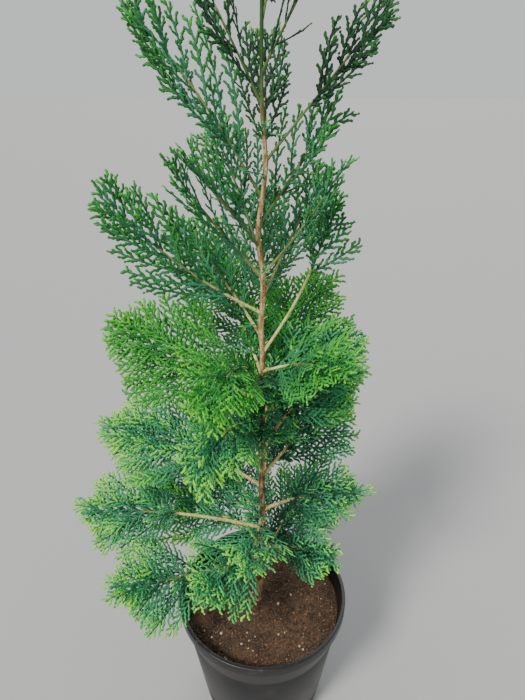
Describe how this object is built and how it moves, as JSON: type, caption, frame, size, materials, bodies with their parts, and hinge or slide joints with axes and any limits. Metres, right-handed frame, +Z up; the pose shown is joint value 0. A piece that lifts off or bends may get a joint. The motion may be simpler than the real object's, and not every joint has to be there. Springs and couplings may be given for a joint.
{
  "type": "potted thuja",
  "caption": "Young thuja with one slender trunk and upswept boughs of flat scaly foliage, in a round plastic nursery pot.",
  "frame": {"origin": "middle of the pot's flat underside", "axes": "+Z up along the trunk, -Y towards the viewer of the plant's front, +X to that viewer's right"},
  "size_m": [0.3367, 0.2777, 1.018],
  "materials": {
    "plastic": "satin",
    "compost": "matte",
    "bark": "matte",
    "limb_bark": "matte",
    "low_foliage": "matte",
    "high_foliage": "matte"
  },
  "bodies": {
    "root": {"pot": "plastic", "soil": "compost", "trunk": "bark", "bough_02": "limb_bark", "bough_05": "limb_bark", "bough_06": "limb_bark", "bough_09": "limb_bark", "bough_11": "limb_bark", "bough_14": "limb_bark", "bough_15": "limb_bark", "bough_18": "limb_bark", "bough_20": "limb_bark", "bough_23": "limb_bark", "bough_26": "limb_bark", "bough_28": "limb_bark", "bough_29": "limb_bark", "bough_33": "limb_bark", "bough_35": "limb_bark", "fan_01": "low_foliage", "fan_02": "low_foliage", "fan_03": "low_foliage", "fan_04": "low_foliage", "fan_05": "low_foliage", "fan_06": "low_foliage", "fan_07": "low_foliage", "fan_08": "low_foliage", "fan_09": "low_foliage", "fan_10": "low_foliage", "fan_11": "low_foliage", "fan_12": "low_foliage", "fan_13": "low_foliage", "fan_14": "low_foliage", "fan_15": "low_foliage", "fan_16": "low_foliage", "fan_17": "low_foliage", "fan_18": "low_foliage", "fan_19": "low_foliage", "fan_20": "low_foliage", "fan_21": "low_foliage", "fan_22": "low_foliage", "fan_23": "low_foliage", "fan_24": "low_foliage", "fan_25": "high_foliage", "fan_26": "high_foliage", "fan_27": "high_foliage", "fan_28": "high_foliage", "fan_29": "high_foliage", "fan_30": "high_foliage", "fan_31": "high_foliage", "fan_32": "high_foliage", "fan_33": "high_foliage", "fan_34": "high_foliage", "fan_35": "high_foliage", "fan_36": "high_foliage", "fan_37": "high_foliage", "fan_38": "high_foliage", "fan_39": "high_foliage", "fan_40": "high_foliage", "fan_41": "high_foliage", "fan_42": "high_foliage"}
  },
  "joints": []
}
